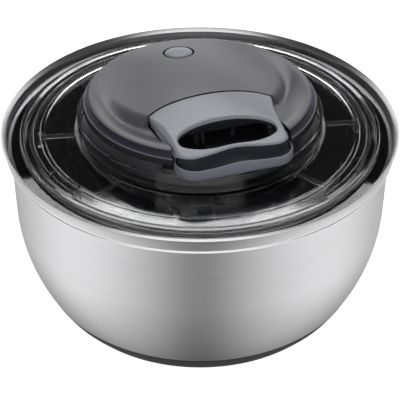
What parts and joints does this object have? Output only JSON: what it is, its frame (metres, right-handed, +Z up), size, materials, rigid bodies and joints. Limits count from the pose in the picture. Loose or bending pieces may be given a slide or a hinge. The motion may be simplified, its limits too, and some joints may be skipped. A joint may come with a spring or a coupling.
{
  "type": "salad spinner",
  "caption": "Salad spinner with a steel bowl, slotted basket, clear lid, and a dark cover with a pull-up drive lever and a brake button.",
  "frame": {"origin": "on the bowl's axis at the underside of the base ring", "axes": "+Z up, -Y towards the lever's front, +X to the right seen from the lever's front"},
  "size_m": [0.26, 0.26, 0.156],
  "materials": {
    "bowl_steel": "circular brushed satin",
    "foot_rubber": "matt",
    "small_steel": "bright",
    "nylon": "matt",
    "basket_plastic": "satin",
    "clear_plastic": "clear polished",
    "dark_plastic": "matt",
    "cover_plastic": "satin",
    "lever_plastic": "satin"
  },
  "bodies": {
    "bowl": {"bowl": "bowl_steel", "base_ring": "foot_rubber", "pivot_pin": "small_steel"},
    "pivot_bush": {"pivot_bush": "nylon"},
    "basket": {"basket": "basket_plastic"},
    "lid": {"lid": "clear_plastic", "gear_case": "dark_plastic", "mechanism_plate": "dark_plastic", "housing_cover": "cover_plastic", "hinge_pin": "small_steel", "step_gear_axle": "small_steel", "upper_bush": "nylon", "lower_bush": "nylon", "button_spring": "small_steel", "plate_screw_1": "small_steel", "plate_screw_2": "small_steel", "plate_screw_3": "small_steel", "plate_screw_4": "small_steel"},
    "rotor": {"drive_shaft": "small_steel", "drive_disc": "clear_plastic", "disc_screw": "small_steel", "retaining_ring": "small_steel"},
    "lever": {"lever": "lever_plastic", "lever_base": "lever_plastic", "sector_gear": "nylon", "lever_spring": "small_steel"},
    "rack": {"rack_slider": "nylon"},
    "step_gear": {"step_gear": "nylon"},
    "driver": {"drive_pinion": "nylon", "clutch_roller_1": "small_steel", "clutch_roller_2": "small_steel", "clutch_roller_3": "small_steel"},
    "stop_button": {"stop_button": "lever_plastic", "brake_rod": "dark_plastic", "brake_pad": "foot_rubber"}
  },
  "joints": [
    {"name": "lid_lift", "type": "slide", "parent": "bowl", "child": "lid", "axis": [0, 0, 1], "range_m": [0, 0.3]},
    {"name": "basket_spin", "type": "hinge", "parent": "bowl", "child": "pivot_bush", "pos_m": [0, 0, 0.01], "axis": [0, 0, 1], "continuous": true},
    {"name": "basket_lift", "type": "slide", "parent": "pivot_bush", "child": "basket", "axis": [0, 0, 1], "range_m": [0, 0.136]},
    {"name": "rotor_spin", "type": "hinge", "parent": "lid", "child": "rotor", "pos_m": [0, 0, 0.12], "axis": [0, 0, 1], "continuous": true},
    {"name": "lever_lift", "type": "hinge", "parent": "lid", "child": "lever", "pos_m": [0, -0.033, 0.1492], "axis": [-1, 0, 0], "range_deg": [0, 50]},
    {"name": "rack_slide", "type": "slide", "parent": "lid", "child": "rack", "axis": [0, -1, 0], "range_m": [0, 0.0159]},
    {"name": "step_gear_spin", "type": "hinge", "parent": "lid", "child": "step_gear", "pos_m": [-0.0245, 0.01731, 0.125], "axis": [0, 0, 1], "range_deg": [-121, 1]},
    {"name": "driver_spin", "type": "hinge", "parent": "lid", "child": "driver", "pos_m": [0, 0, 0.12], "axis": [0, 0, 1], "range_deg": [-1, 362]},
    {"name": "button_press", "type": "slide", "parent": "lid", "child": "stop_button", "axis": [0, 0, -1], "range_m": [0, 0.003], "stiffness_N_per_m": 400, "springref_m": -0.002, "deforming": ["button_spring"]}
  ],
  "couplings": [
    {"joint": "basket_lift", "follows": "lid_lift", "ratio": 0.45},
    {"joint": "rotor_spin", "follows": "basket_spin", "ratio": 1},
    {"joint": "rack_slide", "follows": "lever_lift", "m_per_rad": 0.018},
    {"joint": "step_gear_spin", "follows": "lever_lift", "ratio": -2.4},
    {"joint": "driver_spin", "follows": "lever_lift", "ratio": 7.2}
  ]
}
